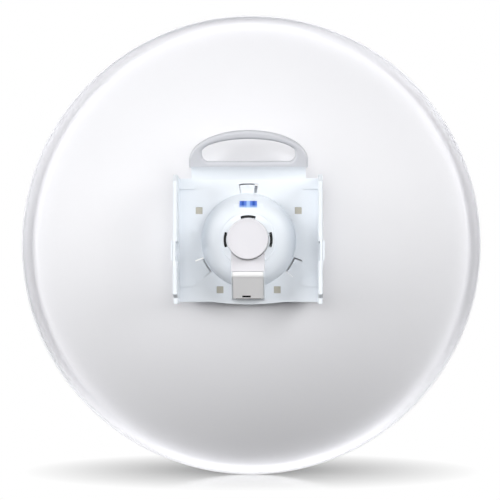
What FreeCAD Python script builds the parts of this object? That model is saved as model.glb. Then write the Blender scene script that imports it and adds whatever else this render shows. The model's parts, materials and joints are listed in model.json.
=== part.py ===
"""Outdoor wireless bridge: a 420 mm dish, its rear housing and the radio feed.

Every part is built with the dish axis as the Y axis: the dish looks towards
+Y, +Z is up, and the rear face of the housing plate is y = 0. On export all
parts are moved together, so that the origin is the middle of the pivot bolt
axis between the two side flanges. All sizes are in millimetres.
"""

import FreeCAD, Part

import math
import os

from FreeCAD import Vector

# ---- driving dimensions -------------------------------------------------

CLEARANCE = 0.3             # gap between parts that move past each other
COVER_GAP = 0.15            # each side of the port cover

# Dish
DISH_RADIUS = 210.0
FOCAL_LENGTH = 126.0
SHEET = 1.2
HUB_HOLE_RADIUS = 41.6
HUB_FLAT_RADIUS = 57.0
HUB_FLAT_Y = 12.0           # rear face of the flat hub of the dish
CURL_START_RADIUS = 201.0   # where the bowl turns into the rolled rim
RIM_LIP = 3.5               # straight end of the rolled rim
BOWL_ARCS = 4
DIMPLE_RADIUS = 1.6
DIMPLE_DISTANCE = 45.5
DIMPLE_HEIGHT = 0.9

# Bayonet between the dish and the housing
HOOK_ANGLES = (90.0, 210.0, 330.0)
HOOK_HALF_ANGLE = 9.0
HOOK_OUTER_RADIUS = 49.2
HOOK_THICKNESS = 2.0
TWIST = 17.0                # turn that frees the dish
NOTCH_HALF_ANGLE = 11.0
NOTCH_RADIUS = 51.4
SPIGOT_INNER_RADIUS = 38.4
SPIGOT_OUTER_RADIUS = 41.2

# Housing plate
PLATE_HALF_WIDTH = 60.5
PLATE_TOP = 54.3
PLATE_BOTTOM = -53.7
PLATE_THICKNESS = 3.0
PLATE_BULGE = 2.0
PLATE_BULGE_HALF_WIDTH = 31.0
WINDOW_HALF_ANGLE = 9.7
WINDOW_INNER_RADIUS = 42.2
WINDOW_OUTER_RADIUS = 50.0
TAB_RECESS = 0.6
TAB_SLIT = 1.1              # slit along the free edge of each window's flap
TAB_FINE_GAP = 0.3
TABS = ((90.0, -1, 2.4), (210.0, -1, 1.0), (330.0, 1, 1.0))     # window, side of the wide gap, its width
SQUARE_SIDE = 6.0
SQUARE_CENTRES = ((43.4, 26.2), (25.0, -43.1))
PAD_REAR_Y = 0.8            # rear end of the soft studs, just below the plate's face
PADS = ((47.3, 2.6, 45.6), (-36.4, 4.0, 45.6))    # middle, half height and reach of each low rib
SEAT_INNER_RADIUS = 54.5
SEAT_OUTER_RADIUS = 56.2

# Housing side flanges, which take the pole bracket
FLANGE_THICKNESS = 4.0
FLANGE_DEPTH = 33.0
FLANGE_TOP = 55.8
FLANGE_BOTTOM = -55.5
FOOT_HEIGHT = 5.0
FOOT_DEPTH = 20.0
BOLT_HOLE_RADIUS = 4.25
BOLT_Y = -20.0
BOLT_Z = -10.5
NUT_POCKET_HEIGHT = 19.0
NUT_POCKET_DEPTH = 1.5

# Dome and collar around the tail of the feed
DOME_RADIUS = 41.3
DOME_EDGE = 1.0
DOME_TOP_Y = -15.8
DOME_WALL = 2.5
COLLAR_RADIUS = 24.0
COLLAR_REAR_Y = -18.0
SOCKET_RADIUS = 18.0
SLEEVE_RADIUS = 19.9
SLEEVE_FRONT_Y = -8.6
SLOT_ANGLES = (0.0, 90.0, 180.0)
RIB_ANGLES = (30.0, 150.0, 210.0, 270.0, 330.0)     # ribs inside the dome, which the feed's flange meets
SLOT_HALF_ANGLE = 18.5
SLOT_INNER_RADIUS = 18.9
SLOT_OUTER_RADIUS = 21.3
SLOT_LIP_Y = -16.2          # the slots are wider in front of this lip, for the fingers

# Neck and carrying handle
NECK_HALF_WIDTH = 50.0
HANDLE_BASE = 64.0
HANDLE_HALF_WIDTH = 52.0
HANDLE_ARCH_CENTRE = 70.4
HANDLE_ARCH_HEIGHT = 26.3
HANDLE_THICKNESS = 8.0
HANDLE_Y = -2.5
HANDLE_LEAN = 15.0
GRIP_HALF_WIDTH = 40.7
GRIP_CENTRE = 77.4
GRIP_CORNER = 6.0
HANDLE_EDGE = 2.6
GRIP_HEIGHT = 11.8
GRIP_BOTTOM = 69.3
LUG_X = 34.0
LUG_HALF_WIDTH = 6.0
LUG_SCREW_Z = 59.2

# Status light window in the dome
LIGHT_Z = 31.0
LIGHT_HALF_WIDTH = 7.5
LIGHT_HALF_HEIGHT = 2.9
LIGHT_RECESS_HALF_WIDTH = 13.5
LIGHT_RECESS_HALF_HEIGHT = 1.7

# Cable channel and its cover
CHANNEL_HALF_WIDTH = 14.5
CHANNEL_WALL = 1.0
CHANNEL_REAR_Y = -30.0
HOOD_BOTTOM = -27.8
SLOPE_TOP = -32.5
SLOPE_TOP_Y = -28.2
SLOPE_BOTTOM = -51.0
SLOPE_BOTTOM_Y = -11.0
COVER_WALL = 1.6
CABLE_RADIUS = 2.9
CABLE_Y = -4.3

# Feed: the radio and its radiator in one tube
TAIL_RADIUS = 17.7
TAIL_BORE = 15.8
TAIL_REAR_Y = -35.0
CAP_REAR_Y = -38.4
FEED_FLANGE_RADIUS = 37.9
FEED_FLANGE_Y = 2.0
FEED_FLANGE_THICKNESS = 3.0
TUBE_RADIUS = 24.5
TUBE_WALL = 2.0
TUBE_REAR_Y = 6.0
TUBE_FRONT_Y = 132.0
FEED_COLLAR_RADIUS = 27.2
FEED_COLLAR_FRONT_Y = 17.0
END_CAP_RADIUS = 31.0
END_CAP_REAR_Y = 118.0
END_CAP_FRONT_Y = 152.0

# Circuit board inside the feed
BOARD_HALF_WIDTH = 14.5
BOARD_REAR_Y = -31.5
BOARD_FRONT_Y = 104.0
BOARD_BOTTOM = 2.0
BOARD_THICKNESS = 1.6
JACK_HALF_WIDTH = 8.0
JACK_REAR_Y = -31.4
JACK_FRONT_Y = -18.4
JACK_FACE_Z = -15.5
RESET_X = 11.2
RESET_Y = -25.0
RESET_FACE_Z = -12.6        # the button ends below the skin of the tail

# The origin is the middle of the pivot bolt axis
ORIGIN_SHIFT = Vector(0, -BOLT_Y, -BOLT_Z)

Y_AXIS = Vector(0, 1, 0)
DISH_AXIS_POINT = Vector(0, 0, 0)


# ---- helpers ------------------------------------------------------------

def box(x0, x1, y0, y1, z0, z1):
    return Part.makeBox(x1 - x0, y1 - y0, z1 - z0, Vector(x0, y0, z0))


def rod(radius, start, end):
    """A round rod between two points."""
    direction = end - start
    return Part.makeCylinder(radius, direction.Length, start, direction)


def disc(radius, y0, y1):
    """A round disc on the dish axis."""
    return rod(radius, Vector(0, y0, 0), Vector(0, y1, 0))


def ring(inner, outer, y0, y1):
    return disc(outer, y0, y1).cut(disc(inner, y0 - 1, y1 + 1))


def spun(edges):
    """A solid of revolution about the dish axis, from edges in the XY plane."""
    face = Part.Face(Part.Wire(edges))
    return face.revolve(DISH_AXIS_POINT, Y_AXIS, 360)


def turned(shape, angle):
    """The shape turned about the dish axis, from +X towards +Z."""
    copy = shape.copy()
    copy.rotate(DISH_AXIS_POINT, -Y_AXIS, angle)
    return copy


def sector(inner, outer, y0, y1, middle, half_angle):
    """A piece of a ring about the dish axis, centred on an angle."""
    corners = [Vector(inner, y0, 0), Vector(outer, y0, 0), Vector(outer, y1, 0), Vector(inner, y1, 0)]
    face = Part.Face(Part.makePolygon(corners + corners[:1]))
    piece = face.revolve(DISH_AXIS_POINT, -Y_AXIS, 2 * half_angle)
    return turned(piece, middle - half_angle)


def side_profile(points, x0, x1):
    """A prism along X from a list of (y, z) corners."""
    corners = [Vector(x0, y, z) for y, z in points]
    face = Part.Face(Part.makePolygon(corners + corners[:1]))
    return face.extrude(Vector(x1 - x0, 0, 0))


def line(a, b):
    return Part.LineSegment(a, b).toShape()


def arc(a, middle, b):
    return Part.Arc(a, middle, b).toShape()


def mirrored(shape):
    """The same shape on the other side of the dish's upright plane."""
    return shape.mirror(Vector(0, 0, 0), Vector(1, 0, 0))


def joined(shapes):
    return shapes[0].fuse(shapes[1:]).removeSplitter()


def rounded(shape, radius, wanted):
    """The shape with a fillet on each edge that the test picks."""
    return shape.makeFillet(radius, [edge for edge in shape.Edges if wanted(edge)])


def is_rim_at(edge, y):
    """A full circle of a round solid on the dish axis, at this y."""
    return abs(edge.CenterOfMass.y - y) < 0.01 and len(edge.Vertexes) == 1


def export(name, shape):
    placed = shape.copy()
    placed.translate(ORIGIN_SHIFT)
    placed.exportStep("parts/" + name + ".step")
    volume = round(placed.Volume / 1000, 2)
    print(name, "solids", len(placed.Solids), "valid", placed.isValid(), "cm3", volume)


# ---- dish ---------------------------------------------------------------

def bowl_y(radius):
    """Rear face of the bowl: a parabola that starts at the edge of the hub flat."""
    return HUB_FLAT_Y + (radius ** 2 - HUB_FLAT_RADIUS ** 2) / (4 * FOCAL_LENGTH)


def bowl_arcs(offset):
    """The bowl from the hub flat to the rim, as four arcs whose ends and middles lie on the parabola."""
    arcs = []
    step = (CURL_START_RADIUS - HUB_FLAT_RADIUS) / BOWL_ARCS
    for index in range(BOWL_ARCS):
        radii = [HUB_FLAT_RADIUS + step * (index + part) for part in (0, 0.5, 1)]
        arcs.append(arc(*[Vector(radius, bowl_y(radius) + offset, 0) for radius in radii]))
    return arcs


def dish_face_edges(offset):
    """Edges of one face of the sheet, hub to lip, at an offset towards the front."""
    slope = math.atan(CURL_START_RADIUS / (2 * FOCAL_LENGTH))
    curl = (DISH_RADIUS - SHEET - CURL_START_RADIUS) / (1 + math.sin(slope))
    start = Vector(CURL_START_RADIUS, bowl_y(CURL_START_RADIUS), 0)
    centre = start + Vector(math.sin(slope), -math.cos(slope), 0) * curl

    def on_curl(angle):
        return centre + Vector(math.cos(angle), math.sin(angle), 0) * (curl + offset)

    first = on_curl(math.pi / 2 + slope)
    last = on_curl(0)
    hub = Vector(HUB_HOLE_RADIUS, HUB_FLAT_Y + offset, 0)
    flat_end = Vector(HUB_FLAT_RADIUS, HUB_FLAT_Y + offset, 0)
    bowl_end = start + Vector(0, offset, 0)
    lip = last - Vector(0, RIM_LIP, 0)
    edges = [line(hub, flat_end)] + bowl_arcs(offset)
    if offset > 0:
        edges.append(line(bowl_end, first))
    return edges + [arc(first, on_curl(math.pi / 3), last), line(last, lip)], hub, lip


def dish_reflector():
    rear, rear_hub, rear_lip = dish_face_edges(0)
    front, front_hub, front_lip = dish_face_edges(SHEET)
    ends = [line(rear_hub, front_hub), line(rear_lip, front_lip)]
    shape = spun(Part.__sortEdges__(rear + front + ends))
    for angle in HOOK_ANGLES:
        shape = shape.cut(sector(30, NOTCH_RADIUS, 0, 20, angle - TWIST, NOTCH_HALF_ANGLE))
    for angle in HOOK_ANGLES:
        centre_y = HUB_FLAT_Y - DIMPLE_HEIGHT + DIMPLE_RADIUS
        dimple = Part.makeSphere(DIMPLE_RADIUS, Vector(DIMPLE_DISTANCE, centre_y, 0))
        dimple = dimple.common(disc(DIMPLE_DISTANCE + 5, 0, HUB_FLAT_Y + SHEET / 2))
        shape = shape.fuse(turned(dimple, angle - 2))
    return shape


# ---- rear housing -------------------------------------------------------

def housing_plate():
    corners = [
        Vector(-PLATE_HALF_WIDTH, 0, PLATE_BOTTOM),
        Vector(-PLATE_HALF_WIDTH, 0, PLATE_TOP),
        Vector(PLATE_HALF_WIDTH, 0, PLATE_TOP),
        Vector(PLATE_HALF_WIDTH, 0, PLATE_BOTTOM),
        Vector(PLATE_BULGE_HALF_WIDTH, 0, PLATE_BOTTOM),
    ]
    edges = [line(a, b) for a, b in zip(corners, corners[1:])]
    left = Vector(-PLATE_BULGE_HALF_WIDTH, 0, PLATE_BOTTOM)
    edges.append(arc(corners[-1], Vector(0, 0, PLATE_BOTTOM - PLATE_BULGE), left))
    edges.append(line(left, corners[0]))
    plate = Part.Face(Part.Wire(edges)).extrude(Vector(0, PLATE_THICKNESS, 0))
    return plate


def housing_flange():
    """The right flange, with its outward nut pocket and its cut-back foot."""
    inner = PLATE_HALF_WIDTH
    outer = inner + FLANGE_THICKNESS
    rear = -FLANGE_DEPTH
    nose = 6.0
    web = side_profile(
        [
            (PLATE_THICKNESS, FLANGE_BOTTOM),
            (-FOOT_DEPTH, FLANGE_BOTTOM),
            (-FOOT_DEPTH, FLANGE_BOTTOM + FOOT_HEIGHT),
            (rear, FLANGE_BOTTOM + FOOT_HEIGHT + nose / 2),
            (rear, FLANGE_TOP - nose),
            (rear + nose, FLANGE_TOP),
            (PLATE_THICKNESS, FLANGE_TOP),
        ],
        inner,
        outer,
    )
    web = rounded(web, 1.2, lambda edge: edge.BoundBox.XLength < 0.01 and edge.CenterOfMass.y < -2)
    half = NUT_POCKET_HEIGHT / 2
    step = NUT_POCKET_DEPTH
    pad_outline = [
        Vector(outer, rear, BOLT_Z + half),
        Vector(outer + step, rear, BOLT_Z + half - step / 2),
        Vector(outer + step, rear, BOLT_Z - half + 2 * step),
        Vector(outer, rear, BOLT_Z - half),
    ]
    pad = Part.Face(Part.makePolygon(pad_outline + pad_outline[:1])).extrude(Vector(0, FLANGE_DEPTH - 5, 0))
    pocket = box(inner - 1, inner + step, rear - 1, -7, BOLT_Z - half + 1, BOLT_Z + half - 1)
    hole = rod(BOLT_HOLE_RADIUS, Vector(inner - 5, BOLT_Y, BOLT_Z), Vector(outer + 5, BOLT_Y, BOLT_Z))
    return web.fuse(pad).cut(pocket).cut(hole)


def housing_pads():
    """Low ribs with round inner ends, beside the right flange."""
    pads = []
    for middle, half, reach in PADS:
        pads.append(box(reach + half, PLATE_HALF_WIDTH + 0.5, -1.6, 0.5, middle - half, middle + half))
        pads.append(rod(half, Vector(reach + half, -1.6, middle), Vector(reach + half, 0.5, middle)))
    return joined(pads)


def housing_neck():
    top = HANDLE_BASE
    rear_y = HANDLE_Y - HANDLE_THICKNESS / 2
    front_y = HANDLE_Y + HANDLE_THICKNESS / 2
    x = -NECK_HALF_WIDTH
    start = Vector(x, 0, PLATE_TOP - 4)
    rear = Vector(x, rear_y, top)
    front_low = Vector(x, PLATE_THICKNESS, top - 2)
    edges = [
        arc(start, Vector(x, -1.5, 58.4), rear),
        line(rear, Vector(x, front_y, top)),
        line(Vector(x, front_y, top), front_low),
        line(front_low, Vector(x, PLATE_THICKNESS, start.z)),
        line(Vector(x, PLATE_THICKNESS, start.z), start),
    ]
    return Part.Face(Part.Wire(edges)).extrude(Vector(2 * NECK_HALF_WIDTH, 0, 0))


def dome_solid(inset):
    """The dome as a full solid, its skin moved in by the inset."""
    base = DOME_RADIUS - inset
    top_y = DOME_TOP_Y + inset
    shoulder = Vector(COLLAR_RADIUS + 11.3 - inset * 0.7, -11.2 + inset * 0.7, 0)
    edges = [
        line(Vector(0, PLATE_THICKNESS, 0), Vector(base, PLATE_THICKNESS, 0)),
        line(Vector(base, PLATE_THICKNESS, 0), Vector(base, -DOME_EDGE, 0)),
        arc(Vector(base, -DOME_EDGE, 0), shoulder, Vector(COLLAR_RADIUS, top_y, 0)),
        line(Vector(COLLAR_RADIUS, top_y, 0), Vector(0, top_y, 0)),
        line(Vector(0, top_y, 0), Vector(0, PLATE_THICKNESS, 0)),
    ]
    return spun(edges)


def light_recess():
    """The cut in the dome for the status light window."""
    deep = box(
        -LIGHT_HALF_WIDTH - 0.1, LIGHT_HALF_WIDTH + 0.1, -25, 0,
        LIGHT_Z - LIGHT_HALF_HEIGHT - 0.1, LIGHT_Z + LIGHT_HALF_HEIGHT + 0.1,
    )
    floor_y = -12.6
    shallow = box(
        -LIGHT_RECESS_HALF_WIDTH, LIGHT_RECESS_HALF_WIDTH, -25, floor_y,
        LIGHT_Z - LIGHT_HALF_HEIGHT, LIGHT_Z - LIGHT_HALF_HEIGHT + 2 * LIGHT_RECESS_HALF_HEIGHT,
    )
    return deep.fuse(shallow)


def channel_outline(rear_shift):
    """Corners (y, z) of the channel's side wall, moved back by the shift."""
    return [
        (0.5, -10.0),
        (CHANNEL_REAR_Y, -10.0),
        (CHANNEL_REAR_Y, HOOD_BOTTOM + 0.2),
        (CHANNEL_REAR_Y - rear_shift + 0.6, HOOD_BOTTOM - 1.5),
        (SLOPE_TOP_Y - rear_shift, SLOPE_TOP),
        (SLOPE_BOTTOM_Y - rear_shift, SLOPE_BOTTOM),
        (0.5, SLOPE_BOTTOM),
    ]


def channel_walls():
    inner = CHANNEL_HALF_WIDTH - CHANNEL_WALL
    wall = side_profile(channel_outline(0.4), inner, CHANNEL_HALF_WIDTH)
    return wall.fuse(mirrored(wall))


def housing_channel():
    """The two walls of the cable channel below the hood."""
    walls = channel_walls().common(box(-20, 20, -40, 5, -60, HOOD_BOTTOM))
    return walls.cut(dome_solid(1))


def port_hood():
    """The bridge between the round cap and the port cover, over the Ethernet port."""
    inner = CHANNEL_HALF_WIDTH - CHANNEL_WALL
    roof = box(-inner, inner, CHANNEL_REAR_Y, CHANNEL_REAR_Y + 1.8, HOOD_BOTTOM, -10)
    hood = channel_walls().common(box(-20, 20, -40, -1, HOOD_BOTTOM, -10)).fuse(roof).removeSplitter()
    hood = rounded(hood, 0.6, is_hood_edge)
    hood = hood.cut(dome_solid(0)).cut(disc(COLLAR_RADIUS, COLLAR_REAR_Y, 0))
    return hood.cut(disc(SOCKET_RADIUS + 0.1, -60, 0))


def is_hood_edge(edge):
    """The two long upright edges of the hood's rear face."""
    centre = edge.CenterOfMass
    return abs(abs(centre.x) - CHANNEL_HALF_WIDTH) < 0.01 and abs(centre.y - CHANNEL_REAR_Y) < 0.01


def housing_hook(angle):
    rear = HUB_FLAT_Y + SHEET + 0.2
    return sector(SPIGOT_INNER_RADIUS, HOOK_OUTER_RADIUS, rear, rear + HOOK_THICKNESS, angle, HOOK_HALF_ANGLE)


def housing_tab(angle, side, wide_gap):
    """The flap in a bayonet window: a slit runs round it, except on the edge that holds it."""
    on_top = angle == 90.0
    inner = WINDOW_INNER_RADIUS + (-0.5 if on_top else TAB_SLIT)
    outer = WINDOW_OUTER_RADIUS + (-TAB_SLIT if on_top else 0.5)
    fine_turn = math.degrees(TAB_FINE_GAP / WINDOW_INNER_RADIUS)
    wide_turn = math.degrees(wide_gap / WINDOW_INNER_RADIUS)
    half = WINDOW_HALF_ANGLE - (fine_turn + wide_turn) / 2
    middle = angle - side * (wide_turn - fine_turn) / 2
    tab = sector(inner, outer, TAB_RECESS, PLATE_THICKNESS, middle, half)
    mark = rod(1.3, Vector(46.0, TAB_RECESS - 1, 0), Vector(46.0, TAB_RECESS + 0.5, 0))
    return tab.cut(turned(mark, angle))


def rear_housing():
    spigot_front = HUB_FLAT_Y + SHEET + 0.2 + HOOK_THICKNESS
    seat = ring(SEAT_INNER_RADIUS, SEAT_OUTER_RADIUS, PLATE_THICKNESS - 1, HUB_FLAT_Y - 0.2)
    spigot = ring(SPIGOT_INNER_RADIUS, SPIGOT_OUTER_RADIUS, 0, spigot_front)
    flange = housing_flange()
    pads = housing_pads()
    solid = joined(
        [
            housing_plate(), flange, mirrored(flange), pads, mirrored(pads), housing_neck(),
            dome_solid(0), disc(COLLAR_RADIUS, COLLAR_REAR_Y, 0), seat,
        ]
    )
    solid = rounded(solid, 0.8, is_collar_rim)
    solid = solid.cut(dome_solid(DOME_WALL)).cut(disc(SPIGOT_INNER_RADIUS, -1, 20))
    sleeve = ring(SOCKET_RADIUS, SLEEVE_RADIUS, COLLAR_REAR_Y + 1, SLEEVE_FRONT_Y)
    rib = box(28, 39.5, -12, FEED_FLANGE_Y - 0.2, -1, 1)
    ribs = [turned(rib, angle).common(dome_solid(0.5)) for angle in RIB_ANGLES]
    solid = solid.fuse([sleeve, spigot, housing_channel()] + ribs)
    solid = solid.cut(disc(SOCKET_RADIUS, -60, 0))
    for angle in SLOT_ANGLES:
        solid = solid.cut(sector(SLOT_INNER_RADIUS, SLOT_OUTER_RADIUS, -20, 0, angle, SLOT_HALF_ANGLE))
        solid = solid.cut(sector(SOCKET_RADIUS - 1, SLOT_OUTER_RADIUS, SLOT_LIP_Y, 0, angle, SLOT_HALF_ANGLE))
    for angle, side, wide_gap in TABS:
        window = sector(WINDOW_INNER_RADIUS, WINDOW_OUTER_RADIUS, -2, 5, angle, WINDOW_HALF_ANGLE)
        solid = solid.cut(window).fuse([housing_hook(angle), housing_tab(angle, side, wide_gap)])
    half = SQUARE_SIDE / 2
    for x, z in SQUARE_CENTRES:
        for side in (-1, 1):
            solid = solid.cut(box(side * x - half, side * x + half, -2, 5, z - half, z + half))
    for side in (-1, 1):
        hole = rod(1.45, Vector(side * LUG_X, -0.6, LUG_SCREW_Z), Vector(side * LUG_X, 5, LUG_SCREW_Z))
        solid = solid.cut(hole)
    return solid.cut(light_recess()).removeSplitter()


def dish_pads():
    """Soft square studs in the plate's square holes. They press on the hub of the dish."""
    stem = SQUARE_SIDE / 2 - 0.1
    flange = SQUARE_SIDE / 2 + 1
    front = HUB_FLAT_Y - CLEARANCE
    studs = []
    for x, z in SQUARE_CENTRES:
        stud = box(x - stem, x + stem, PAD_REAR_Y, front, z - stem, z + stem)
        stud = stud.fuse(
            box(x - flange, x + flange, PLATE_THICKNESS, PLATE_THICKNESS + 1.2, z - flange, z + flange)
        )
        stud = stud.common(disc(SEAT_INNER_RADIUS - 0.1, 0, HUB_FLAT_Y)).removeSplitter()
        studs += [stud, mirrored(stud)]
    return Part.makeCompound(studs)


def is_collar_rim(edge):
    centre = edge.CenterOfMass
    return edge.Curve.TypeId == "Part::GeomCircle" and abs(centre.y - COLLAR_REAR_Y) < 0.01


# ---- handle -------------------------------------------------------------

def arch(half_width, centre, height, bottom, corner, y0, y1):
    """A prism along Y: an arched top, straight sides and a flat bottom."""
    ellipse = Part.Ellipse(
        Vector(half_width, y0, centre), Vector(0, y0, centre + height), Vector(0, y0, centre)
    )
    top = ellipse.toShape(0, math.pi)
    diagonal = corner * (1 - math.sqrt(0.5))
    edges = [top]
    for side in (-1, 1):
        corner_start = Vector(side * half_width, y0, bottom + corner)
        edges.append(line(Vector(side * half_width, y0, centre), corner_start))
        edges.append(
            arc(
                corner_start,
                Vector(side * (half_width - diagonal), y0, bottom + diagonal),
                Vector(side * (half_width - corner), y0, bottom),
            )
        )
    edges.append(line(Vector(corner - half_width, y0, bottom), Vector(half_width - corner, y0, bottom)))
    face = Part.Face(Part.Wire(Part.__sortEdges__(edges)))
    return face.extrude(Vector(0, y1 - y0, 0))


def carry_handle():
    rear = HANDLE_Y - HANDLE_THICKNESS / 2
    front = HANDLE_Y + HANDLE_THICKNESS / 2
    body = arch(HANDLE_HALF_WIDTH, HANDLE_ARCH_CENTRE, HANDLE_ARCH_HEIGHT, HANDLE_BASE - 12, 2, rear, front)
    grip = arch(GRIP_HALF_WIDTH, GRIP_CENTRE, GRIP_HEIGHT, GRIP_BOTTOM, GRIP_CORNER, rear - 1, front + 1)
    body = body.cut(grip)
    body = rounded(body, HANDLE_EDGE, is_handle_edge)
    body.rotate(Vector(0, HANDLE_Y, HANDLE_BASE), Vector(1, 0, 0), HANDLE_LEAN)
    body = body.common(box(-80, 80, -60, 40, HANDLE_BASE, 120))
    parts = [body]
    for side in (-1, 1):
        x0, x1 = side * LUG_X - LUG_HALF_WIDTH, side * LUG_X + LUG_HALF_WIDTH
        lug = box(x0, x1, -1, PLATE_THICKNESS + 3, HANDLE_BASE, GRIP_BOTTOM - 1)
        lug = lug.fuse(box(x0, x1, PLATE_THICKNESS, PLATE_THICKNESS + 3, LUG_SCREW_Z - 4.5, HANDLE_BASE + 1))
        hole = rod(1.7, Vector(side * LUG_X, 0, LUG_SCREW_Z), Vector(side * LUG_X, 8, LUG_SCREW_Z))
        parts.append(lug.cut(hole))
    return joined(parts)


def is_handle_edge(edge):
    """The edges of the upright handle's rear and front faces."""
    return abs(edge.CenterOfMass.y - HANDLE_Y) > HANDLE_THICKNESS / 2 - 0.01


def handle_screws():
    screws = []
    for side in (-1, 1):
        seat = Vector(side * LUG_X, PLATE_THICKNESS + 3, LUG_SCREW_Z)
        head = rod(3.0, seat, seat + Vector(0, 2, 0))
        head = head.cut(box(seat.x - 0.5, seat.x + 0.5, seat.y + 1, seat.y + 3, seat.z - 2, seat.z + 2))
        head = head.cut(box(seat.x - 2, seat.x + 2, seat.y + 1, seat.y + 3, seat.z - 0.5, seat.z + 0.5))
        screws.append(head.fuse(rod(1.4, seat - Vector(0, 6.3, 0), seat + Vector(0, 0.5, 0))))
    return Part.makeCompound(screws)


# ---- light window, snap ring, cable parts -------------------------------

def light_lens():
    block = box(
        -LIGHT_HALF_WIDTH, LIGHT_HALF_WIDTH, -25, -10.5,
        LIGHT_Z - LIGHT_HALF_HEIGHT, LIGHT_Z + LIGHT_HALF_HEIGHT,
    )
    return block.common(dome_solid(0.5))


def light_pipe():
    block = box(-LIGHT_HALF_WIDTH + 0.3, LIGHT_HALF_WIDTH - 0.3, -10.5, -1.2, LIGHT_Z - 2.4, LIGHT_Z + 2.4)
    flange = box(-LIGHT_HALF_WIDTH - 1.0, LIGHT_HALF_WIDTH + 1.0, -5.5, -4.3, LIGHT_Z - 3.0, LIGHT_Z + 3.0)
    return block.fuse(flange).removeSplitter()


def feed_snap_ring():
    """A spring ring on the housing's sleeve, with a finger in each slot."""
    band_outer = SLEEVE_RADIUS + 2.0
    parts = [ring(SLEEVE_RADIUS + 0.05, band_outer, -12.4, -10.2)]
    for angle in SLOT_ANGLES:
        parts.append(sector(SLEEVE_RADIUS + 0.05, SLOT_OUTER_RADIUS - 0.3, -15.6, -12.0, angle, 13))
        parts.append(sector(TAIL_RADIUS - 0.4, SLEEVE_RADIUS + 0.6, -15.6, -14.0, angle, 13))
    return joined(parts)


def cable_grommet():
    outer = side_profile(
        [(0, -51), (-8.2, -51), (-8.2, -48.5), (-9.6, -47), (-9.6, -46), (0, -46)],
        -10.9,
        10.9,
    )
    return outer.cut(rod(CABLE_RADIUS, Vector(0, CABLE_Y, -55), Vector(0, CABLE_Y, -40)))


def cover_skin(inset):
    """Rear outline of the cover, top to bottom in the YZ plane: a flat, a round bend and a slope."""
    half = CHANNEL_HALF_WIDTH - CHANNEL_WALL - COVER_GAP
    x = -half
    top = Vector(x, CHANNEL_REAR_Y + 0.3 + inset, HOOD_BOTTOM - 0.3)
    bend_start = Vector(x, CHANNEL_REAR_Y + 0.3 + inset, HOOD_BOTTOM - 2.0 + 0.4 * inset)
    bend_middle = Vector(x, CHANNEL_REAR_Y + 0.9 + inset, HOOD_BOTTOM - 4.1 + 0.5 * inset)
    bend_end = Vector(x, CHANNEL_REAR_Y + 2.5 + inset, SLOPE_TOP - 0.9 + 0.4 * inset)
    bottom = Vector(x, SLOPE_BOTTOM_Y + inset * 1.35, SLOPE_BOTTOM + 0.2)
    edges = [line(top, bend_start), arc(bend_start, bend_middle, bend_end), line(bend_end, bottom)]
    return edges, top, bottom


def port_cover():
    """The cover of the cable channel: a curved skin with two skirts."""
    half = CHANNEL_HALF_WIDTH - CHANNEL_WALL - COVER_GAP
    edges, top, bottom = cover_skin(0)
    front_top = Vector(-half, -1.2, top.z)
    front_bottom = Vector(-half, -1.2, bottom.z)
    edges += [line(bottom, front_bottom), line(front_bottom, front_top), line(front_top, top)]
    full = Part.Face(Part.Wire(edges)).extrude(Vector(2 * half, 0, 0))
    full = rounded(full, 0.5, is_cover_edge)
    edges, top, bottom = cover_skin(COVER_WALL)
    low = bottom + Vector(0, 3, -5)
    corners = [bottom, low, Vector(-half, 5, low.z), Vector(-half, 5, -20), Vector(-half, top.y, -20), top]
    edges += [line(a, b) for a, b in zip(corners, corners[1:])]
    skirt = 1.3
    hollow = Part.Face(Part.Wire(edges)).extrude(Vector(2 * (half - skirt), 0, 0))
    hollow.translate(Vector(skirt, 0, 0))
    cover = full.cut(hollow).cut(dome_solid(-0.5))
    slot = box(-5.2, 2.2, -30, -8, -49.9, -48.3)
    return cover.cut(slot)


def is_cover_edge(edge):
    """The long edges on both sides of the cover's rear skin."""
    half = CHANNEL_HALF_WIDTH - CHANNEL_WALL - COVER_GAP
    centre = edge.CenterOfMass
    on_side = abs(abs(centre.x) - half) < 0.01 and edge.BoundBox.XLength < 0.01
    return on_side and centre.y < SLOPE_BOTTOM_Y


# ---- feed ---------------------------------------------------------------

def tail_housing():
    """Tail tube, locating flange and the socket of the radome tube."""
    body = joined(
        [
            disc(TAIL_RADIUS, TAIL_REAR_Y, FEED_FLANGE_Y + 1),
            disc(FEED_FLANGE_RADIUS, FEED_FLANGE_Y, FEED_FLANGE_Y + FEED_FLANGE_THICKNESS),
            disc(FEED_COLLAR_RADIUS, FEED_FLANGE_Y, FEED_COLLAR_FRONT_Y),
        ]
    )
    body = body.cut(disc(TAIL_BORE, -60, 60))
    body = body.cut(disc(TUBE_RADIUS + 0.1, TUBE_REAR_Y, 60))
    groove = ring(TAIL_RADIUS - 0.7, TAIL_RADIUS + 2, -16.0, -13.6)
    jack_hole = box(
        -JACK_HALF_WIDTH - 0.2, JACK_HALF_WIDTH + 0.2, JACK_REAR_Y - 0.2, JACK_FRONT_Y + 0.2, -30, -4
    )
    reset_hole = rod(1.5, Vector(RESET_X, RESET_Y, -30), Vector(RESET_X, RESET_Y, -4))
    body = body.cut(groove).cut(jack_hole).cut(reset_hole)
    for side in (-1, 1):
        shelf = box(side * 13 - 4, side * 13 + 4, -4, FEED_FLANGE_Y + 3, -3, BOARD_BOTTOM)
        shelf = shelf.common(disc(TAIL_BORE + 0.5, -10, 10))
        body = body.fuse(shelf.cut(rod(0.95, Vector(side * 11.5, 1, -2), Vector(side * 11.5, 1, 10))))
    return body.removeSplitter()


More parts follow.
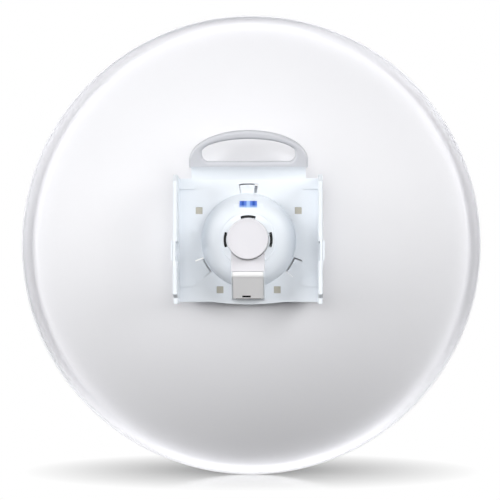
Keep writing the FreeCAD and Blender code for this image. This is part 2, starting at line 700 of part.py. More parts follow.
def tail_cap():
    """The round rear cap, with a raised rim round a shallow dished face."""
    rear = CAP_REAR_Y
    cap = disc(TAIL_RADIUS, rear, TAIL_REAR_Y)
    cap = rounded(cap, 1.0, lambda edge: is_rim_at(edge, rear))
    cap = cap.cut(disc(TAIL_RADIUS - 2.2, rear - 1, rear + 0.4))
    spigot = ring(12.5, TAIL_BORE - 0.15, TAIL_REAR_Y - 0.5, TAIL_REAR_Y + 3)
    spigot = spigot.cut(ring(TAIL_BORE - 1.2, TAIL_BORE + 1, TAIL_REAR_Y + 0.8, TAIL_REAR_Y + 2.2))
    return cap.fuse(spigot).removeSplitter()


def o_ring(radius, thickness, y):
    return Part.makeTorus(radius, thickness / 2, Vector(0, y, 0), Y_AXIS)


def radome_tube():
    tube = ring(TUBE_RADIUS - TUBE_WALL, TUBE_RADIUS, TUBE_REAR_Y, TUBE_FRONT_Y)
    for groove_y in (11.0, 124.0):
        tube = tube.cut(ring(TUBE_RADIUS - 0.8, TUBE_RADIUS + 1, groove_y - 1, groove_y + 1))
    return tube


def radome_end_cap():
    """The front cap: a wider round can over the end of the tube."""
    rear, front = END_CAP_REAR_Y, END_CAP_FRONT_Y
    outside = disc(END_CAP_RADIUS, rear, front)
    outside = rounded(outside, 4, lambda edge: is_rim_at(edge, front))
    outside = rounded(outside, 3, lambda edge: is_rim_at(edge, rear))
    room = disc(END_CAP_RADIUS - 2.4, rear + 12, front - 2.4)
    room = rounded(room, 2, lambda edge: is_rim_at(edge, front - 2.4))
    return outside.cut(room).cut(disc(TUBE_RADIUS + 0.1, rear - 1, rear + 20))


def sub_reflector():
    """A shallow metal cone near the focus, its point towards the dish."""
    front = END_CAP_FRONT_Y - 2.5
    edges = Part.makePolygon(
        [
            Vector(0, front - 5, 0), Vector(5, front - 4.6, 0), Vector(26, front - 1, 0),
            Vector(26, front, 0), Vector(0, front, 0), Vector(0, front - 5, 0),
        ]
    )
    return Part.Face(edges).revolve(DISH_AXIS_POINT, Y_AXIS, 360)


def radiator_board():
    board = disc(13, 130.0, 131.6)
    for side in (-1, 1):
        board = board.cut(rod(1.15, Vector(side * 4, 120, 0), Vector(side * 4, 140, 0)))
    return board


def radiator_arms():
    """Two crossed dipoles as four flat arms on the radiator board."""
    arm = box(1.2, 11.5, 131.6, 132.0, -1.5, 1.5)
    return Part.makeCompound([turned(arm, angle) for angle in (45, 135, 225, 315)])


def radiator_spacer():
    return ring(5.2, 6.8, 132.0, END_CAP_FRONT_Y - 2.5 - 4.4).cut(sub_reflector())


def feed_coax_lines():
    lines = []
    for side in (-1, 1):
        z = BOARD_BOTTOM - 1.1
        low = Vector(side * 4, 98, z)
        bend = Vector(side * 4, 112, z)
        high = Vector(side * 4, 122, 0)
        end = Vector(side * 4, 133, 0)
        path = Part.Wire(round_path([low, bend, high, end], 12.0))
        profile = Part.Wire(Part.makeCircle(1.05, low, Y_AXIS))
        lines.append(path.makePipeShell([profile], True, False))
    return Part.makeCompound(lines)


def round_path(points, radius):
    """Straight runs joined by arcs that touch both runs."""
    edges = []
    start = points[0]
    for before, corner, after in zip(points, points[1:], points[2:]):
        back = (before - corner).normalize()
        ahead = (after - corner).normalize()
        half = math.acos(max(-1.0, min(1.0, back.dot(ahead)))) / 2
        reach = radius / math.tan(half)
        bisector = (back + ahead).normalize()
        centre = corner + bisector * (radius / math.sin(half))
        first = corner + back * reach
        last = corner + ahead * reach
        edges.append(line(start, first))
        edges.append(arc(first, centre - bisector * radius, last))
        start = last
    edges.append(line(start, points[-1]))
    return edges


# ---- electronics --------------------------------------------------------

def board_block(x0, x1, y0, y1, height, above=True):
    """A component on the top or the underside of the main board."""
    top = BOARD_BOTTOM + BOARD_THICKNESS
    if above:
        return box(x0, x1, y0, y1, top, top + height)
    return box(x0, x1, y0, y1, BOARD_BOTTOM - height, BOARD_BOTTOM)


def main_board():
    top = BOARD_BOTTOM + BOARD_THICKNESS
    board = box(-BOARD_HALF_WIDTH, BOARD_HALF_WIDTH, BOARD_REAR_Y, BOARD_FRONT_Y, BOARD_BOTTOM, top)
    for side in (-1, 1):
        board = board.cut(rod(1.3, Vector(side * 11.5, 1, 0), Vector(side * 11.5, 1, 10)))
    return board


def board_screws():
    screws = []
    top = BOARD_BOTTOM + BOARD_THICKNESS
    for side in (-1, 1):
        head = rod(2.1, Vector(side * 11.5, 1, top), Vector(side * 11.5, 1, top + 1.4))
        shank = rod(0.9, Vector(side * 11.5, 1, top - 5), Vector(side * 11.5, 1, top + 0.5))
        screws.append(head.fuse(shank))
    return Part.makeCompound(screws)


def ethernet_jack():
    jack = box(-JACK_HALF_WIDTH, JACK_HALF_WIDTH, JACK_REAR_Y, JACK_FRONT_Y, JACK_FACE_Z, BOARD_BOTTOM)
    jack = jack.cut(box(-5.9, 5.9, -29.4, -21.6, JACK_FACE_Z - 1, -3.5))
    return jack.cut(box(-3.1, 3.1, -22, -19.8, JACK_FACE_Z - 1, -6))


def jack_contacts():
    """Eight spring contacts in the jack."""
    pitch = 1.02
    contact = box(-0.2, 0.2, -28.4, -27.9, -12.5, -3.5)
    contacts = []
    for index in range(8):
        one = contact.copy()
        one.translate(Vector((index - 3.5) * pitch, 0, 0))
        contacts.append(one)
    return Part.makeCompound(contacts)


def rf_shield():
    shell = board_block(-12.5, 12.5, 58, 96, 4.2)
    return shell.cut(board_block(-12.2, 12.2, 58.3, 95.7, 3.9))


def filter_capacitors():
    top = BOARD_BOTTOM
    return Part.makeCompound(
        [rod(3.1, Vector(x, y, top), Vector(x, y, top - 8.5)) for x, y in ((-8, 30), (8, 30), (-8, 42))]
    )


def heat_spreader():
    """A bent aluminium plate that rests on the pad over the processor."""
    top = BOARD_BOTTOM + BOARD_THICKNESS + 2.4
    plate = box(-12.5, 12.5, 12, 52, top, top + 1.5)
    fins = [box(x - 0.6, x + 0.6, 12, 52, top + 1, top + 8) for x in (-12, -7.2, -2.4, 2.4, 7.2, 12)]
    return joined([plate] + fins)


def led_board():
    return box(-9, 9, FEED_FLANGE_Y - 1.2, FEED_FLANGE_Y, 26.5, 36)


def status_leds():
    return Part.makeCompound(
        [
            box(x - 0.9, x + 0.9, FEED_FLANGE_Y - 2.0, FEED_FLANGE_Y - 1.2, 30.3, 31.7)
            for x in (-5.4, -1.8, 1.8, 5.4)
        ]
    )


def reset_switch():
    return board_block(RESET_X - 2, RESET_X + 2, RESET_Y - 2.2, RESET_Y + 2.2, 2.4, above=False)


def reset_button():
    top = Vector(RESET_X, RESET_Y, BOARD_BOTTOM - 3.1)
    stem = rod(1.15, Vector(RESET_X, RESET_Y, RESET_FACE_Z), top)
    collar = rod(1.7, Vector(RESET_X, RESET_Y, -8.6), Vector(RESET_X, RESET_Y, -7.6))
    return stem.fuse(collar).removeSplitter()


# ---- all parts ----------------------------------------------------------

def build():
    os.makedirs("parts", exist_ok=True)
    export("dish_reflector", dish_reflector())
    export("rear_housing", rear_housing())
    export("dish_pads", dish_pads())
    export("carry_handle", carry_handle())
    export("handle_screws", handle_screws())
    export("light_lens", light_lens())
    export("light_pipe", light_pipe())
    export("feed_snap_ring", feed_snap_ring())
    export("cable_grommet", cable_grommet())
    export("port_hood", port_hood())
    export("port_cover", port_cover())
    export("tail_housing", tail_housing())
    export("tail_cap", tail_cap())
    export("tail_seal", o_ring(TAIL_BORE - 0.62, 1.1, TAIL_REAR_Y + 1.5))
    export("radome_tube", radome_tube())
    export("rear_tube_seal", o_ring(TUBE_RADIUS - 0.35, 0.8, 11.0))
    export("front_tube_seal", o_ring(TUBE_RADIUS - 0.35, 0.8, 124.0))
    export("radome_end_cap", radome_end_cap())
    export("sub_reflector", sub_reflector())
    export("radiator_board", radiator_board())
    export("radiator_arms", radiator_arms())
    export("radiator_spacer", radiator_spacer())
    export("feed_coax_lines", feed_coax_lines())
    export("main_board", main_board())
    export("board_screws", board_screws())
    export("ethernet_jack", ethernet_jack())
    export("jack_contacts", jack_contacts())
    export("ethernet_transformer", board_block(-7, 7, -15.5, -5, 6, above=False))
    export("processor_chip", board_block(-7, 7, 24, 38, 1.4))
    export("thermal_pad", board_block(-7, 7, 24, 38, 2.4).cut(board_block(-7, 7, 24, 38, 1.4)))
    export("memory_chip", board_block(-5, 5, 42, 50, 1.2))
    export("heat_spreader", heat_spreader())
    export("rf_shield", rf_shield())
    export("radio_chip", board_block(-4.5, 4.5, 70, 79, 1.1))
    export("power_inductor", board_block(-6, 6, 8, 20, 5.2, above=False))
    export("filter_capacitors", filter_capacitors())
    export("led_board", led_board())
    export("status_leds", status_leds())
    export("reset_switch", reset_switch())
    export("reset_button", reset_button())


build()
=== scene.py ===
"""Outdoor wireless bridge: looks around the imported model, seen from behind the dish."""

import json
import math

import bpy
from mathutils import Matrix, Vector


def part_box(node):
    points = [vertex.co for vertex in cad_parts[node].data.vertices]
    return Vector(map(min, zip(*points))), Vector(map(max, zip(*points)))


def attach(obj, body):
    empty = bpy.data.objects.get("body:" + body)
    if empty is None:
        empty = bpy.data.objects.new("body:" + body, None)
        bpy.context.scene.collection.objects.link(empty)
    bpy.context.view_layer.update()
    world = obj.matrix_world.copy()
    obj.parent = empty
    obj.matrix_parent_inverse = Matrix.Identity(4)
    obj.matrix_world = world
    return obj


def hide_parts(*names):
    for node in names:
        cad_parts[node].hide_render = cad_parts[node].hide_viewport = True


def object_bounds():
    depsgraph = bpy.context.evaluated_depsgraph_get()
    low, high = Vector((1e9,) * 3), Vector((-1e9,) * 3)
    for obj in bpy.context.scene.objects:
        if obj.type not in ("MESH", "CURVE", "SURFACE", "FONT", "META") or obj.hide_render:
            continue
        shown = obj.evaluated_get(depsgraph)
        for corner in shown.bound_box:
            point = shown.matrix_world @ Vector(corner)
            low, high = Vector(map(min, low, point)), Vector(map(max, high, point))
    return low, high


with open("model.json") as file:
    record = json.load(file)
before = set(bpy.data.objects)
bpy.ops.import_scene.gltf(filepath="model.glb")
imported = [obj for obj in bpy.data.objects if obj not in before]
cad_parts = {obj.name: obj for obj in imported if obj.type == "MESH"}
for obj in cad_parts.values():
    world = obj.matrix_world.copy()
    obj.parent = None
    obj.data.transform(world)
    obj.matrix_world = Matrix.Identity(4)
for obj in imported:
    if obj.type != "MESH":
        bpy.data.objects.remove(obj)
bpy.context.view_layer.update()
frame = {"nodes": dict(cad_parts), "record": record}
MM = 0.001

# Driving sizes of the pieces that are built again here, in metres
SHEET = 1.2 * MM                # thickness of the dish
SHEET_EDGE = 0.12 * MM          # round on the cut edges of the sheet
SHEET_EDGE_ANGLE = math.radians(40)     # edges sharper than this are cut edges
HUB_HOLE_RADIUS = 41.6 * MM
HUB_FLAT_RADIUS = 57.0 * MM
NOTCH_RADIUS = 51.4 * MM
DIMPLE_RADIUS = 1.6 * MM
DIMPLE_DISTANCE = 45.5 * MM
DIMPLE_HEIGHT = 0.9 * MM        # the three dimples are the rearmost points of the dish
DIMPLE_LEAD = 2                 # degrees from a hook's middle back to its dimple
FOCAL_LENGTH = 126.0 * MM
CURL_START_RADIUS = 201.0 * MM
HUB_BEND_WIDTH = 1.5 * MM       # the flat hub turns into the bowl over this width
HUB_BEND_RISE = 0.06 * MM
RIM_LIP = 3.5 * MM
HOOK_ANGLES = (90, 210, 330)    # degrees, from +X towards +Z
TWIST = 17                      # degrees that free the dish from its hooks
NOTCH_HALF_ANGLE = 11           # degrees

# Fineness of those pieces
DISH_SEGMENTS = 360             # one for each degree, which the notches count on
BOWL_STEPS = 48
CURL_STEPS = 18
DIMPLE_RINGS = 4
DIMPLE_SEGMENTS = 16
CAD_SHARP_ANGLE = 25            # degrees: edges sharper than this aren't shaded smooth
SHEET_SHARP_ANGLE = 30

# Status light
LIGHT_BAR_PITCH = 4.75 * MM
LIGHT_BAR_SHIFT = math.pi       # puts a dark bar a pitch to each side of the middle
LIGHT_BAR_DARK = -0.7           # the wave's value up to which a bar is darkest
LIGHT_BAR_CLEAR = 0.6           # and from which the blue is clear
LIGHT_MIDDLE_PALE = 0.9 * MM    # the pale patch is full within this distance of the middle
LIGHT_MIDDLE_END = 2.1 * MM
LIGHT_EDGE_START = 0.6 * MM     # the pale lower edge begins this far below the middle
LIGHT_EDGE_PALE = 2.8 * MM
LIGHT_EDGE_SHARE = 0.8
LIGHT_DARK = (0.035, 0.10, 0.46)
LIGHT_BLUE = (0.12, 0.235, 0.72)
LIGHT_PALE = (0.42, 0.62, 0.96)
LIGHT_PALE_EDGE = (0.52, 0.72, 0.95)
LIGHT_STRENGTH = 0.95

# Camera
CAMERA_DISTANCE = 1.8           # from the middle of the rim
CAMERA_BELOW = math.radians(2.15)       # how far below the dish's axis it stands
CAMERA_RIGHT = math.radians(1.3)
DISH_SHARE = 0.914              # width of the dish as a share of the picture's width
SENSOR = 36.0                   # millimetres, as Blender's lens is
AIM_OFFSET = Vector((-0.8, 0, -5.3)) * MM       # what it aims at, seen from the middle of the rim

# Stage
FLOOR_HALF_WIDTH = 3.0
FLOOR_FAR = 1.6
# Painted shade: round the dish's foot the floor is coloured this darker grey, which deepens the dish's
# shadow there
FLOOR_PAINTED_SHADE = (0.40, 0.40, 0.405)
FLOOR_ROUGHNESS = 0.12
FLOOR_SHADE_STRETCH = (1.6, 1.5, 1.0)    # the larger, the shorter the painted shade in that direction
FLOOR_SHADE_BEYOND = 0.05        # the painted shade is centred this far beyond the dish's foot
FLOOR_WHITE_NEAR = 0.0          # share of plain white in the middle of the painted shade
FLOOR_WHITE_REACH = 0.34        # stretched distance from that middle where the floor is all white
WORLD_LIGHT = 0.14              # the surround as the object sees it; the camera sees plain white
FLOOR_BOUNCE = 0.05             # how pale the floor is for the light that it throws back
LIGHTS = (                      # name, place seen from the dish's middle, size, watts
    ("key", (-1.3, -2.0, 1.2), 1.4, 8.5),
    ("left", (-2.2, -1.2, 0.3), 1.4, 46.0),
    ("front", (0.0, -2.6, 0.15), 1.6, 27.5),
    ("right", (2.0, -1.5, 0.8), 1.4, 43.0),
    ("far_right", (1.7, 2.2, 1.2), 1.4, 52.0),
    ("far_left", (-2.0, 1.9, 0.6), 1.4, 36.0),
)

# The soft light from below that reaches only the hub's pieces
HUB_BOUNCE_PLACE = (0.0, -0.60, -0.95)  # seen from the dish's middle
HUB_BOUNCE_SIZE = 0.8
HUB_BOUNCE_WATTS = 3.0
HUB_PIECES = ("rear_housing", "port_hood", "port_cover", "tail_cap", "dish_pads")

DISH_LOW, DISH_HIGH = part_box("dish_reflector")
DISH_RADIUS = (DISH_HIGH.x - DISH_LOW.x) / 2
HUB_Y = DISH_LOW.y + DIMPLE_HEIGHT
AXIS_Z = (DISH_HIGH.z + DISH_LOW.z) / 2
FLOOR_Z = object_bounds()[0].z
FOOT_Y = DISH_HIGH.y - RIM_LIP  # where the rim meets the floor
LIGHT_LOW, LIGHT_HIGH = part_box("light_lens")
LIGHT_Z = (LIGHT_LOW.z + LIGHT_HIGH.z) / 2


# ---- materials ----------------------------------------------------------

MIX_A, MIX_B, MIX_RESULT = 6, 7, 2      # the colour sockets of a Mix node

# Noise scales, in repeats for each metre
DRIFT_GRAIN = 14.0              # slow change of colour
GLOSS_GRAIN = 60.0
BRUSH_GRAIN = 400.0
BRUSH_STRETCH = (1.0, 30.0, 1.0)        # a factor: finer along Y, so the lines run across it
METAL_DRIFT_GRAIN = 90.0

# Paints and plastics: name, colour, shade it drifts to, roughness, grain, its depth in metres, coat
COATED = (
    ("dish_paint", (0.87, 0.87, 0.895), 0.99, 0.55, 1500.0, 0.00001),
    ("housing_plastic", (0.81, 0.85, 0.895), 0.985, 0.42, 2600.0, 0.00005),
    # painted shade: handle_plastic is a darker copy of the housing's plastic, standing for the shade on
    # the backward-leaning handle
    ("handle_plastic", (0.64, 0.65, 0.69), 0.98, 0.42, 2600.0, 0.00005),
    ("cover_plastic", (0.93, 0.925, 0.93), 0.98, 0.42, 2600.0, 0.00005),
    ("cap_plastic", (0.72, 0.71, 0.745), 0.985, 0.36, 2200.0, 0.00003),
    # painted shade: pad_rubber's beige grey is the white dish seen in shadow through the square holes,
    # given to the pads that fill them
    ("pad_rubber", (0.54, 0.515, 0.44), 0.93, 0.8, 2400.0, 0.00008),
    ("feed_plastic", (0.74, 0.75, 0.76), 0.97, 0.40, 2600.0, 0.00005),
    ("radome_plastic", (0.80, 0.80, 0.81), 0.985, 0.30, 2000.0, 0.00003, 0.1),
    ("snap_black", (0.012, 0.012, 0.014), 0.7, 0.5, 3000.0, 0.00005),
    ("seal_rubber", (0.02, 0.02, 0.02), 0.7, 0.7, 3000.0, 0.00008),
    ("chip_black", (0.02, 0.02, 0.022), 0.8, 0.45, 4000.0, 0.00003),
    ("jack_plastic", (0.03, 0.03, 0.033), 0.8, 0.4, 3000.0, 0.00003),
    ("capacitor_sleeve", (0.02, 0.03, 0.08), 0.8, 0.3, 3000.0, 0.00002),
    ("thermal_pad", (0.30, 0.38, 0.46), 0.9, 0.7, 1800.0, 0.00008),
    ("clear_plastic", (0.55, 0.66, 0.85), 0.95, 0.2, 1500.0, 0.00002),
)

# Bare metals: name, colour, roughness
BRUSHED = (
    ("reflector_aluminium", (0.78, 0.78, 0.79), 0.3),
    ("shield_steel", (0.72, 0.71, 0.68), 0.3),
    ("screw_steel", (0.60, 0.60, 0.60), 0.3),
    ("copper", (0.80, 0.42, 0.24), 0.3),
    ("gold_contact", (0.90, 0.66, 0.25), 0.25),
)


class Nodes:
    """A short way to build a node material."""

    def __init__(self, name):
        self.material = bpy.data.materials.new(name)
        self.material.use_nodes = True
        self.tree = self.material.node_tree
        self.shader = self.tree.nodes["Principled BSDF"]
        self.place = self.add("ShaderNodeTexCoord").outputs["Object"]

    def add(self, kind, links=None, **values):
        node = self.tree.nodes.new(kind)
        for key, value in values.items():
            if key in node.inputs:
                node.inputs[key].default_value = value
            else:
                setattr(node, key, value)
        for key, source in (links or {}).items():
            self.tree.links.new(source, node.inputs[key])
        return node

    def noise(self, scale, detail=2.0, roughness=0.5):
        node = self.add("ShaderNodeTexNoise", {"Vector": self.place})
        node.inputs["Scale"].default_value = scale
        node.inputs["Detail"].default_value = detail
        node.inputs["Roughness"].default_value = roughness
        return node.outputs["Fac"]

    def ranged(self, value, low, high, from_low=0.3, from_high=0.7):
        node = self.add("ShaderNodeMapRange", {"Value": value})
        node.inputs["From Min"].default_value = from_low
        node.inputs["From Max"].default_value = from_high
        node.inputs["To Min"].default_value = low
        node.inputs["To Max"].default_value = high
        return node.outputs["Result"]

    def mixed(self, factor, a, b):
        node = self.add("ShaderNodeMix", {"Factor": factor}, data_type="RGBA")
        node.inputs[MIX_A].default_value = (*a, 1)
        node.inputs[MIX_B].default_value = (*b, 1)
        return node.outputs[MIX_RESULT]

    def bump(self, height, strength, distance, after=None):
        links = {"Height": height}
        if after is not None:
            links["Normal"] = after
        node = self.add("ShaderNodeBump", links)
        node.inputs["Strength"].default_value = strength
        node.inputs["Distance"].default_value = distance
        return node.outputs["Normal"]

    def to(self, socket, source):
        self.tree.links.new(source, self.shader.inputs[socket])


def coated(name, colour, shade, roughness, grain, depth, coat=0.0):
    """Paint or moulded plastic: fine grain, slow colour drift and uneven gloss."""
    m = Nodes(name)
    drift = m.ranged(m.noise(DRIFT_GRAIN, detail=3.0), 0.0, 1.0)
    darker = tuple(c * shade for c in colour)
    m.to("Base Color", m.mixed(drift, colour, darker))
    gloss = m.noise(GLOSS_GRAIN, detail=4.0)
    m.to("Roughness", m.ranged(gloss, roughness - 0.04, roughness + 0.05))
    broad = m.bump(m.noise(grain / 6, detail=2.0), strength=0.25, distance=depth * 2)
    fine = m.noise(grain, detail=3.0, roughness=0.6)
    m.to("Normal", m.bump(fine, strength=0.5, distance=depth, after=broad))
    m.shader.inputs["Coat Weight"].default_value = coat
    return m.material


def brushed(name, colour, roughness):
    """Bare metal with fine turned or drawn lines."""
    m = Nodes(name)
    stretch = m.add("ShaderNodeMapping", {"Vector": m.place})
    stretch.inputs["Scale"].default_value = BRUSH_STRETCH
    lines = m.add("ShaderNodeTexNoise", {"Vector": stretch.outputs["Vector"]})
    lines.inputs["Scale"].default_value = BRUSH_GRAIN
    m.to("Roughness", m.ranged(lines.outputs["Fac"], roughness - 0.08, roughness + 0.12))
    drift = m.ranged(m.noise(METAL_DRIFT_GRAIN), 0.0, 1.0)
    m.to("Base Color", m.mixed(drift, colour, tuple(c * 0.9 for c in colour)))
    m.to("Normal", m.bump(lines.outputs["Fac"], strength=0.15, distance=0.00005))
    m.shader.inputs["Metallic"].default_value = 1.0
    return m.material


def circuit_board(name):
    """Green solder mask with paler copper tracks under it."""
    m = Nodes(name)
    cells = m.add("ShaderNodeTexBrick", {"Vector": m.place})
    cells.inputs["Scale"].default_value = 220.0
    cells.inputs["Color1"].default_value = (0.015, 0.16, 0.07, 1)
    cells.inputs["Color2"].default_value = (0.02, 0.20, 0.09, 1)
    cells.inputs["Mortar"].default_value = (0.05, 0.32, 0.15, 1)
    cells.inputs["Mortar Size"].default_value = 0.03
    m.to("Base Color", cells.outputs["Color"])
    m.to("Normal", m.bump(cells.outputs["Fac"], strength=0.3, distance=0.00004))
    m.shader.inputs["Roughness"].default_value = 0.35
    return m.material


def make_materials():
    """Every finish by its name, which is also the name of the record's material slot."""
    materials = {name: coated(name, *looks) for name, *looks in COATED}
    materials.update({name: brushed(name, *looks) for name, *looks in BRUSHED})
    materials["board_green"] = circuit_board("board_green")
    for name in ("light_blue", "led_blue"):
        materials[name] = status_light(name)
    return materials


def wave(m, axis, period, shift=0.0):
    """A cosine wave along one axis of the object."""
    split = m.add("ShaderNodeSeparateXYZ", {"Vector": m.place})
    turns = m.add("ShaderNodeMath", {0: split.outputs[axis]}, operation="MULTIPLY_ADD")
    turns.inputs[1].default_value = 2 * math.pi / period
    turns.inputs[2].default_value = shift
    return m.add("ShaderNodeMath", {0: turns.outputs[0]}, operation="COSINE").outputs[0]


def status_light(name):
    """Lit blue window: a dark bar on each side, paler in the middle and along the lower edge."""
    m = Nodes(name)
    split = m.add("ShaderNodeSeparateXYZ", {"Vector": m.place})
    across = m.add("ShaderNodeMath", {0: split.outputs["X"]}, operation="ABSOLUTE")
    turns = wave(m, "X", LIGHT_BAR_PITCH, LIGHT_BAR_SHIFT)
    bars = m.ranged(turns, 0.0, 1.0, LIGHT_BAR_DARK, LIGHT_BAR_CLEAR)
    blue = m.mixed(bars, LIGHT_DARK, LIGHT_BLUE)
    middle = m.ranged(across.outputs[0], 1.0, 0.0, LIGHT_MIDDLE_PALE, LIGHT_MIDDLE_END)
    paler = m.add("ShaderNodeMix", {"Factor": middle, MIX_A: blue}, data_type="RGBA")
    paler.inputs[MIX_B].default_value = (*LIGHT_PALE, 1)
    begin, full = LIGHT_Z - LIGHT_EDGE_START, LIGHT_Z - LIGHT_EDGE_PALE
    height = m.ranged(split.outputs["Z"], 0.0, LIGHT_EDGE_SHARE, begin, full)
    glow = m.add("ShaderNodeMix", {"Factor": height, MIX_A: paler.outputs[MIX_RESULT]}, data_type="RGBA")
    glow.inputs[MIX_B].default_value = (*LIGHT_PALE_EDGE, 1)
    m.to("Emission Color", glow.outputs[MIX_RESULT])
    m.shader.inputs["Base Color"].default_value = (0.01, 0.02, 0.08, 1)
    m.shader.inputs["Emission Strength"].default_value = LIGHT_STRENGTH
    m.shader.inputs["Roughness"].default_value = 0.12
    return m.material


MATERIALS = make_materials()


def finish_with(obj, slot):
    """The one material of a piece."""
    obj.data.materials.clear()
    obj.data.materials.append(MATERIALS[slot])


# ---- carried-over CAD nodes ---------------------------------------------

def smooth(obj, angle):
    """Smooth shading, except over edges sharper than this angle in degrees."""
    obj.data.polygons.foreach_set("use_smooth", [True] * len(obj.data.polygons))
    obj.data.set_sharp_from_angle(angle=math.radians(angle))


def dress_cad_nodes():
    for part in frame["record"]["subparts"]:
        obj = frame["nodes"][part["node"]]
        finish_with(obj, part["material_slot"])
        smooth(obj, CAD_SHARP_ANGLE)


# ---- pieces built here --------------------------------------------------

def mesh_object(name, vertices, faces, slot):
    mesh = bpy.data.meshes.new(name)
    mesh.from_pydata(vertices, [], faces)
    mesh.validate()
    obj = bpy.data.objects.new(name, mesh)
    bpy.context.scene.collection.objects.link(obj)
    finish_with(obj, slot)
    smooth(obj, SHEET_SHARP_ANGLE)
    return obj


def dish_profile():
    """(radius, y) of the sheet's rear face, from the hub hole to the end of the lip."""
    points = [(HUB_HOLE_RADIUS, 0.0), (NOTCH_RADIUS, 0.0), (HUB_FLAT_RADIUS - HUB_BEND_WIDTH, 0.0)]

    def bowl(radius):
        return (radius ** 2 - HUB_FLAT_RADIUS ** 2) / (4 * FOCAL_LENGTH)

    points.append((HUB_FLAT_RADIUS, HUB_BEND_RISE))
    for i in range(1, BOWL_STEPS + 1):
        radius = HUB_FLAT_RADIUS + (CURL_START_RADIUS - HUB_FLAT_RADIUS) * i / BOWL_STEPS
        points.append((radius, bowl(radius)))
    slope = math.atan(CURL_START_RADIUS / (2 * FOCAL_LENGTH))
    curl = (DISH_RADIUS - SHEET - CURL_START_RADIUS) / (1 + math.sin(slope))
    centre_r = CURL_START_RADIUS + curl * math.sin(slope)
    centre_y = bowl(CURL_START_RADIUS) - curl * math.cos(slope)
    for i in range(1, CURL_STEPS + 1):
        angle = (math.pi / 2 + slope) * (1 - i / CURL_STEPS)
        points.append((centre_r + curl * math.cos(angle), centre_y + curl * math.sin(angle)))
    end_r, end_y = points[-1]
    points.append((end_r, end_y - RIM_LIP))
    return points


def dimple_caps(vertices, faces):
    """Three pressed dimples on the hub's rear face, one beside each hook."""
    rings, around = DIMPLE_RINGS, DIMPLE_SEGMENTS
    for hook in HOOK_ANGLES:
        angle = math.radians(hook - DIMPLE_LEAD)
        middle = Vector((math.cos(angle), 0, math.sin(angle))) * DIMPLE_DISTANCE
        centre = middle + Vector((0, HUB_Y - DIMPLE_HEIGHT + DIMPLE_RADIUS, AXIS_Z))
        widest = math.acos((DIMPLE_RADIUS - DIMPLE_HEIGHT) / DIMPLE_RADIUS)
        first = len(vertices)
        vertices.append(tuple(centre - Vector((0, DIMPLE_RADIUS, 0))))
        for ring in range(1, rings + 1):
            tilt = widest * ring / rings
            for step in range(around):
                turn = 2 * math.pi * step / around
                out = math.sin(tilt) * DIMPLE_RADIUS
                back = math.cos(tilt) * DIMPLE_RADIUS
                offset = Vector((out * math.cos(turn), -back, out * math.sin(turn)))
                vertices.append(tuple(centre + offset))
        for step in range(around):
            ahead = (step + 1) % around
            faces.append((first, first + 1 + step, first + 1 + ahead))
            for ring in range(rings - 1):
                low = first + 1 + ring * around
                high = low + around
                faces.append((low + step, high + step, high + ahead, low + ahead))


def dish_skin():
    """The dish as a finer sheet: the profile turned round the axis, with the three bayonet notches."""
    profile = dish_profile()
    segments = DISH_SEGMENTS
    vertices, faces = [], []
    for i in range(segments):
        angle = 2 * math.pi * i / segments
        for r, y in profile:
            vertices.append((r * math.cos(angle), HUB_Y + y, AXIS_Z + r * math.sin(angle)))
    count = len(profile)
    notched = set()
    for hook in HOOK_ANGLES:
        middle = hook - TWIST
        notched.update((middle + step) % segments for step in range(-NOTCH_HALF_ANGLE, NOTCH_HALF_ANGLE))
    for i in range(segments):
        j = (i + 1) % segments
        for k in range(count - 1):
            if k == 0 and i in notched:
                continue
            faces.append((i * count + k, i * count + k + 1, j * count + k + 1, j * count + k))
    dimple_caps(vertices, faces)
    obj = mesh_object("dish_skin", vertices, faces, "dish_paint")
    solid = obj.modifiers.new("sheet", "SOLIDIFY")
    solid.thickness = SHEET
    solid.offset = -1.0
    solid.use_even_offset = True
    edge = obj.modifiers.new("edge", "BEVEL")
    edge.width = SHEET_EDGE
    edge.segments = 2
    edge.limit_method = "ANGLE"
    edge.angle_limit = SHEET_EDGE_ANGLE
    edge.harden_normals = True
    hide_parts("dish_reflector")
    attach(obj, "dish")


# ---- stage --------------------------------------------------------------

def floor_material():
    """Pale glossy floor with painted shade: a darker grey round the dish's foot, deepening its shadow,
    that turns plain white away from the foot.
    """
    m = Nodes("floor")
    m.shader.inputs["Base Color"].default_value = (*FLOOR_PAINTED_SHADE, 1)
    m.shader.inputs["Roughness"].default_value = FLOOR_ROUGHNESS
    stretch = m.add("ShaderNodeMapping", {"Vector": m.place})
    middle_y = (FOOT_Y + FLOOR_SHADE_BEYOND) * FLOOR_SHADE_STRETCH[1]
    stretch.inputs["Location"].default_value = (0, -middle_y, 0)
    stretch.inputs["Scale"].default_value = FLOOR_SHADE_STRETCH
    distance = m.add("ShaderNodeVectorMath", {"Vector": stretch.outputs["Vector"]}, operation="LENGTH")
    # painted shade: grey at the dish's foot, all white beyond the reach
    shade_to_white = m.ranged(distance.outputs["Value"], FLOOR_WHITE_NEAR, 1.0, 0.0, FLOOR_WHITE_REACH)
    white = m.add("ShaderNodeEmission")
    both = m.add("ShaderNodeMixShader", {0: shade_to_white, 1: m.shader.outputs[0], 2: white.outputs[0]})
    dark = m.add("ShaderNodeBsdfDiffuse")
    dark.inputs["Color"].default_value = (FLOOR_BOUNCE, FLOOR_BOUNCE, FLOOR_BOUNCE, 1)
    camera_ray = m.add("ShaderNodeLightPath").outputs["Is Camera Ray"]
    seen = m.add("ShaderNodeMixShader", {0: camera_ray, 1: dark.outputs[0], 2: both.outputs[0]})
    m.tree.links.new(seen.outputs[0], m.tree.nodes["Material Output"].inputs["Surface"])
    return m.material


def make_floor():
    mesh = bpy.data.meshes.new("floor")
    x, near, far = FLOOR_HALF_WIDTH, -FLOOR_HALF_WIDTH, FLOOR_FAR
    mesh.from_pydata([(-x, near, 0), (x, near, 0), (x, far, 0), (-x, far, 0)], [], [(0, 1, 2, 3)])
    floor = bpy.data.objects.new("floor", mesh)
    bpy.context.scene.collection.objects.link(floor)
    floor.location = (0, 0, FLOOR_Z)
    mesh.materials.append(floor_material())


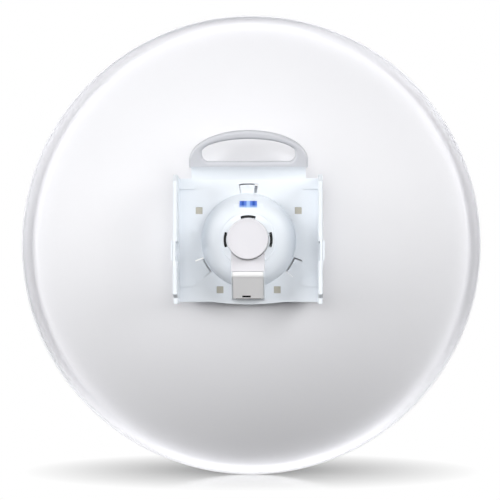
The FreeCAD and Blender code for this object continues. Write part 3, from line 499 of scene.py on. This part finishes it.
def soft_light(name, location, aim, size, watts):
    data = bpy.data.lights.new(name, "AREA")
    data.size = size
    data.energy = watts
    light = bpy.data.objects.new(name, data)
    bpy.context.scene.collection.objects.link(light)
    light.location = location
    direction = Vector(aim) - Vector(location)
    light.rotation_euler = direction.to_track_quat("-Z", "Y").to_euler()
    return light


def make_hub_bounce(middle):
    """The pale floor's light on the hub's undersides, which the floor itself doesn't block."""
    place = middle + Vector(HUB_BOUNCE_PLACE)
    light = soft_light("hub_bounce", place, middle, HUB_BOUNCE_SIZE, HUB_BOUNCE_WATTS)
    pieces = bpy.data.collections.new("hub_pieces")
    for node in HUB_PIECES:
        pieces.objects.link(frame["nodes"][node])
    light.light_linking.receiver_collection = pieces
    light.light_linking.blocker_collection = pieces


def make_camera():
    rim = Vector((0, DISH_HIGH.y, AXIS_Z))
    away = Vector(
        (
            math.sin(CAMERA_RIGHT) * math.cos(CAMERA_BELOW),
            -math.cos(CAMERA_RIGHT) * math.cos(CAMERA_BELOW),
            -math.sin(CAMERA_BELOW),
        )
    )
    data = bpy.data.cameras.new("camera")
    data.sensor_width = SENSOR
    data.lens = SENSOR * DISH_SHARE * CAMERA_DISTANCE / (2 * DISH_RADIUS)
    camera = bpy.data.objects.new("camera", data)
    bpy.context.scene.collection.objects.link(camera)
    camera.location = rim + away * CAMERA_DISTANCE
    camera.rotation_euler = (rim + AIM_OFFSET - camera.location).to_track_quat("-Z", "Y").to_euler()
    bpy.context.scene.camera = camera


def make_world():
    """White surround, which lights the object less than it shows."""
    world = bpy.data.worlds.new("world")
    bpy.context.scene.world = world
    world.use_nodes = True
    tree = world.node_tree
    background = tree.nodes["Background"]
    background.inputs["Color"].default_value = (1, 1, 1, 1)
    path = tree.nodes.new("ShaderNodeLightPath")
    strength = tree.nodes.new("ShaderNodeMapRange")
    strength.inputs["To Min"].default_value = WORLD_LIGHT
    strength.inputs["To Max"].default_value = 1.0
    tree.links.new(path.outputs["Is Camera Ray"], strength.inputs["Value"])
    tree.links.new(strength.outputs["Result"], background.inputs["Strength"])


def make_stage():
    bpy.context.scene.view_settings.view_transform = "Standard"
    make_world()
    make_floor()
    middle = Vector((0, 0, AXIS_Z))
    for name, place, size, watts in LIGHTS:
        soft_light(name, middle + Vector(place), middle, size, watts)
    make_hub_bounce(middle)


make_camera()
make_stage()
dress_cad_nodes()
dish_skin()
